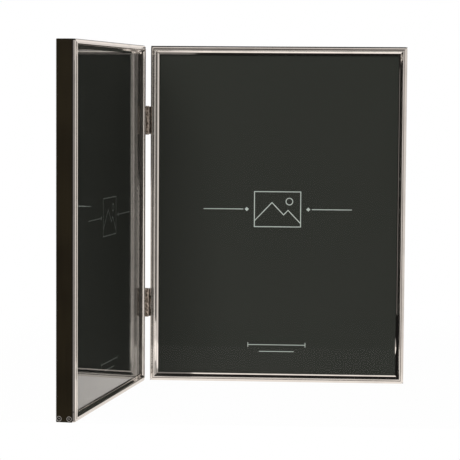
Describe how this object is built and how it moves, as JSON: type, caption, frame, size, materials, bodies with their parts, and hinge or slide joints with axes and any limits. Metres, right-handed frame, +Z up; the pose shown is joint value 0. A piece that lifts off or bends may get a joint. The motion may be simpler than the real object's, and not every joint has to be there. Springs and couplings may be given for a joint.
{
  "type": "hinged double photo frame",
  "caption": "Two slim upright photo frames with silver mouldings and dark sides, joined by butt hinges, so that they stand open like a book.",
  "frame": {"origin": "bottom centre of the object's box as it stands open at its rest angle", "axes": "+Z up, right frame along +X facing -Y, left frame swung towards -Y"},
  "size_m": [0.1956, 0.1716, 0.2104],
  "materials": {
    "silver_plate": "polished silver plate, slightly warm, with fine handling marks",
    "dark_lacquer": "near-black brown satin lacquer",
    "clear_glass": "clear picture glass",
    "charcoal_card": null,
    "packing_board": "grey board",
    "hardboard": "brown hardboard",
    "flocked_lining": "black flocked paper",
    "clip_steel": "bright zinc-plated steel",
    "pin_heads": "steel, lacquered over with the rails",
    "hinge_metal": "antique nickel, browned in the recesses",
    "hinge_screws": "antique nickel, slotted"
  },
  "bodies": {
    "right_frame": {"right_bottom_rail": "dark_lacquer", "right_outer_rail": "dark_lacquer", "right_top_rail": "dark_lacquer", "right_hinge_rail": "dark_lacquer", "right_bottom_moulding": "silver_plate", "right_outer_moulding": "silver_plate", "right_top_moulding": "silver_plate", "right_hinge_moulding": "silver_plate", "right_glass": "clear_glass", "right_insert_card": "charcoal_card", "right_packing_board": "packing_board", "right_back_board": "hardboard", "right_back_lining": "flocked_lining", "right_clip_rivets": "clip_steel", "right_corner_pins": "pin_heads", "right_hinge_screws": "hinge_screws", "upper_hinge_right_leaf": "hinge_metal", "upper_hinge_pin": "hinge_metal", "lower_hinge_right_leaf": "hinge_metal", "lower_hinge_pin": "hinge_metal"},
    "left_frame": {"left_bottom_rail": "dark_lacquer", "left_outer_rail": "dark_lacquer", "left_top_rail": "dark_lacquer", "left_hinge_rail": "dark_lacquer", "left_bottom_moulding": "silver_plate", "left_outer_moulding": "silver_plate", "left_top_moulding": "silver_plate", "left_hinge_moulding": "silver_plate", "left_glass": "clear_glass", "left_insert_card": "charcoal_card", "left_packing_board": "packing_board", "left_back_board": "hardboard", "left_back_lining": "flocked_lining", "left_clip_rivets": "clip_steel", "left_corner_pins": "pin_heads", "left_hinge_screws": "hinge_screws", "upper_hinge_left_leaf": "hinge_metal", "lower_hinge_left_leaf": "hinge_metal"},
    "right_turn_clip_hinge_upper": {"right_turn_clip_hinge_upper": "clip_steel"},
    "right_turn_clip_hinge_lower": {"right_turn_clip_hinge_lower": "clip_steel"},
    "right_turn_clip_outer_upper": {"right_turn_clip_outer_upper": "clip_steel"},
    "right_turn_clip_outer_lower": {"right_turn_clip_outer_lower": "clip_steel"},
    "left_turn_clip_hinge_upper": {"left_turn_clip_hinge_upper": "clip_steel"},
    "left_turn_clip_hinge_lower": {"left_turn_clip_hinge_lower": "clip_steel"},
    "left_turn_clip_outer_upper": {"left_turn_clip_outer_upper": "clip_steel"},
    "left_turn_clip_outer_lower": {"left_turn_clip_outer_lower": "clip_steel"}
  },
  "joints": [
    {"name": "frame_hinge", "type": "hinge", "parent": "right_frame", "child": "left_frame", "pos_m": [-0.06368, 0.07392, 0.1052], "axis": [0, 0, -1], "range_deg": [-98, 92]},
    {"name": "right_clip_hinge_upper_turn", "type": "hinge", "parent": "right_frame", "child": "right_turn_clip_hinge_upper", "pos_m": [-0.05058, 0.08447, 0.1604], "axis": [0, 1, 0], "range_deg": [-90, 90]},
    {"name": "right_clip_hinge_lower_turn", "type": "hinge", "parent": "right_frame", "child": "right_turn_clip_hinge_lower", "pos_m": [-0.05058, 0.08447, 0.05], "axis": [0, 1, 0], "range_deg": [-90, 90]},
    {"name": "right_clip_outer_upper_turn", "type": "hinge", "parent": "right_frame", "child": "right_turn_clip_outer_upper", "pos_m": [0.08662, 0.08447, 0.1604], "axis": [0, 1, 0], "range_deg": [-90, 90]},
    {"name": "right_clip_outer_lower_turn", "type": "hinge", "parent": "right_frame", "child": "right_turn_clip_outer_lower", "pos_m": [0.08662, 0.08447, 0.05], "axis": [0, 1, 0], "range_deg": [-90, 90]},
    {"name": "left_clip_hinge_upper_turn", "type": "hinge", "parent": "left_frame", "child": "left_turn_clip_hinge_upper", "pos_m": [-0.07595, 0.06242, 0.1604], "axis": [-0.9903, 0.1392, 0], "range_deg": [-90, 90]},
    {"name": "left_clip_hinge_lower_turn", "type": "hinge", "parent": "left_frame", "child": "left_turn_clip_hinge_lower", "pos_m": [-0.07595, 0.06242, 0.05], "axis": [-0.9903, 0.1392, 0], "range_deg": [-90, 90]},
    {"name": "left_clip_outer_upper_turn", "type": "hinge", "parent": "left_frame", "child": "left_turn_clip_outer_upper", "pos_m": [-0.09505, -0.07345, 0.1604], "axis": [-0.9903, 0.1392, 0], "range_deg": [-90, 90]},
    {"name": "left_clip_outer_lower_turn", "type": "hinge", "parent": "left_frame", "child": "left_turn_clip_outer_lower", "pos_m": [-0.09505, -0.07345, 0.05], "axis": [-0.9903, 0.1392, 0], "range_deg": [-90, 90]}
  ]
}
